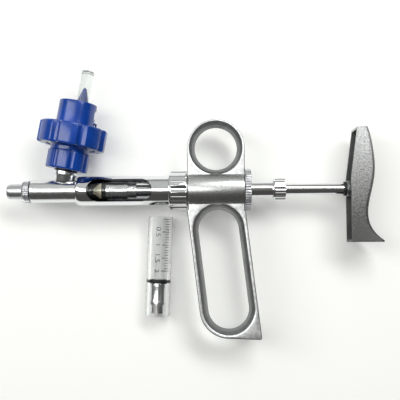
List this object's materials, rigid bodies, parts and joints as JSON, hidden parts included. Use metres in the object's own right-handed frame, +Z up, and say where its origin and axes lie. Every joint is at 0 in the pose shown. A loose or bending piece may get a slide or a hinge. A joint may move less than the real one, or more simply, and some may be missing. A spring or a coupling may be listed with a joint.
{
  "type": "automatic syringe",
  "caption": "Self-refilling syringe with a bottle adapter, finger ring and loop, palm rest and dose adjuster, with its spare glass and piston.",
  "frame": {"origin": "centre of the nozzle's front face, on the barrel's axis", "axes": "+X along the barrel towards the palm rest, +Y from the finger loop to the finger ring, +Z up from the bench that the syringe lies on"},
  "size_m": [0.2005, 0.145, 0.0364],
  "materials": {
    "chrome": "polished",
    "satin_steel": "satin",
    "spring_steel": "drawn wire",
    "cast_aluminium": "cast, lightly peened",
    "blue_plastic": "glossy moulded",
    "clear_plastic": "clear",
    "borosilicate_glass": "clear",
    "black_rubber": "smooth",
    "pale_seal": "smooth",
    "brass": "turned"
  },
  "bodies": {
    "barrel": {"valve_body": "chrome", "inlet_stub": "chrome", "barrel_casing": "chrome", "front_gasket": "pale_seal", "glass_barrel": "borosilicate_glass", "rear_gasket": "pale_seal", "rod_guide": "satin_steel", "handle": "cast_aluminium", "rear_bush": "brass", "outlet_valve_spring": "spring_steel", "inlet_valve_spring": "spring_steel", "return_spring": "spring_steel"},
    "nozzle_washer": {"nozzle_gasket": "black_rubber"},
    "nozzle": {"needle_nozzle": "satin_steel"},
    "outlet_poppet": {"outlet_valve": "spring_steel"},
    "inlet_poppet": {"inlet_valve": "spring_steel"},
    "adapter_washer": {"inlet_gasket": "black_rubber"},
    "adapter": {"adapter_base": "blue_plastic", "adapter_seal": "pale_seal", "adapter_cup": "blue_plastic", "adapter_spike": "blue_plastic"},
    "collar": {"adapter_collar": "blue_plastic"},
    "spike_cap": {"spike_sleeve": "clear_plastic"},
    "nut": {"coupling_nut": "chrome"},
    "lock": {"lock_ring": "satin_steel"},
    "dose_stop": {"stop_washer": "pale_seal"},
    "dose_adjuster": {"dose_sleeve": "chrome", "dose_grip_nut": "chrome"},
    "plunger": {"piston_tip": "pale_seal", "piston_o_ring": "black_rubber", "piston_body": "chrome", "piston_rod": "chrome", "rod_collar": "chrome", "palm_rest": "cast_aluminium", "buffer_ring": "black_rubber"},
    "spare_barrel": {"spare_glass": "borosilicate_glass"},
    "spare_plunger": {"spare_piston": "chrome", "spare_o_ring": "black_rubber"}
  },
  "joints": [
    {"name": "plunger_press", "type": "slide", "parent": "dose_stop", "child": "plunger", "axis": [-1, 0, 0], "range_m": [0, 0.0115], "stiffness_N_per_m": 400, "springref_m": -0.01, "deforming": ["return_spring"]},
    {"name": "dose_turn", "type": "hinge", "parent": "dose_stop", "child": "dose_adjuster", "pos_m": [0, 0, 0], "axis": [1, 0, 0], "range_deg": [0, 4008.5]},
    {"name": "dose_travel", "type": "slide", "parent": "barrel", "child": "dose_stop", "axis": [1, 0, 0], "range_m": [0, 0.0167]},
    {"name": "lock_ring_turn", "type": "hinge", "parent": "barrel", "child": "lock", "pos_m": [0.1292, 0, 0], "axis": [1, 0, 0], "range_deg": [0, 360]},
    {"name": "coupling_nut_turn", "type": "hinge", "parent": "barrel", "child": "nut", "pos_m": [0.0919, 0, 0], "axis": [1, 0, 0], "range_deg": [0, 360]},
    {"name": "nozzle_travel", "type": "slide", "parent": "barrel", "child": "nozzle_washer", "axis": [-1, 0, 0], "range_m": [0, 0.004]},
    {"name": "nozzle_turn", "type": "hinge", "parent": "nozzle_washer", "child": "nozzle", "pos_m": [0, 0, 0], "axis": [-1, 0, 0], "range_deg": [0, 1440.5]},
    {"name": "outlet_valve_lift", "type": "slide", "parent": "barrel", "child": "outlet_poppet", "axis": [-1, 0, 0], "range_m": [0, 0.001], "stiffness_N_per_m": 100, "springref_m": -0.001, "deforming": ["outlet_valve_spring"]},
    {"name": "inlet_valve_lift", "type": "slide", "parent": "barrel", "child": "inlet_poppet", "axis": [-0.1822, -0.9833, 0], "range_m": [0, 0.001], "stiffness_N_per_m": 100, "springref_m": -0.001, "deforming": ["inlet_valve_spring"]},
    {"name": "adapter_travel", "type": "slide", "parent": "barrel", "child": "adapter_washer", "axis": [0.1822, 0.9833, 0], "range_m": [0, 0.006]},
    {"name": "adapter_turn", "type": "hinge", "parent": "adapter_washer", "child": "adapter", "pos_m": [0.0293, 0, 0], "axis": [0.1822, 0.9833, 0], "range_deg": [0, 1728.5]},
    {"name": "collar_turn", "type": "hinge", "parent": "adapter", "child": "collar", "pos_m": [0.0293, 0, 0], "axis": [0.1822, 0.9833, 0], "range_deg": [0, 360]},
    {"name": "spike_sleeve_pull", "type": "slide", "parent": "adapter", "child": "spike_cap", "axis": [0.1822, 0.9833, 0], "range_m": [0, 0.03]},
    {"name": "spare_glass_slide", "type": "slide", "parent": "barrel", "child": "spare_barrel", "axis": [-1, 0, 0], "range_m": [0, 0.05]},
    {"name": "spare_piston_slide", "type": "slide", "parent": "spare_barrel", "child": "spare_plunger", "axis": [-0.0444, -0.999, 0], "range_m": [-0.0335, 0.0199]}
  ],
  "couplings": [
    {"joint": "dose_turn", "follows": "dose_travel", "rad_per_m": 4188.8},
    {"joint": "nozzle_turn", "follows": "nozzle_travel", "rad_per_m": 6283.2},
    {"joint": "adapter_turn", "follows": "adapter_travel", "rad_per_m": 5026.5}
  ]
}
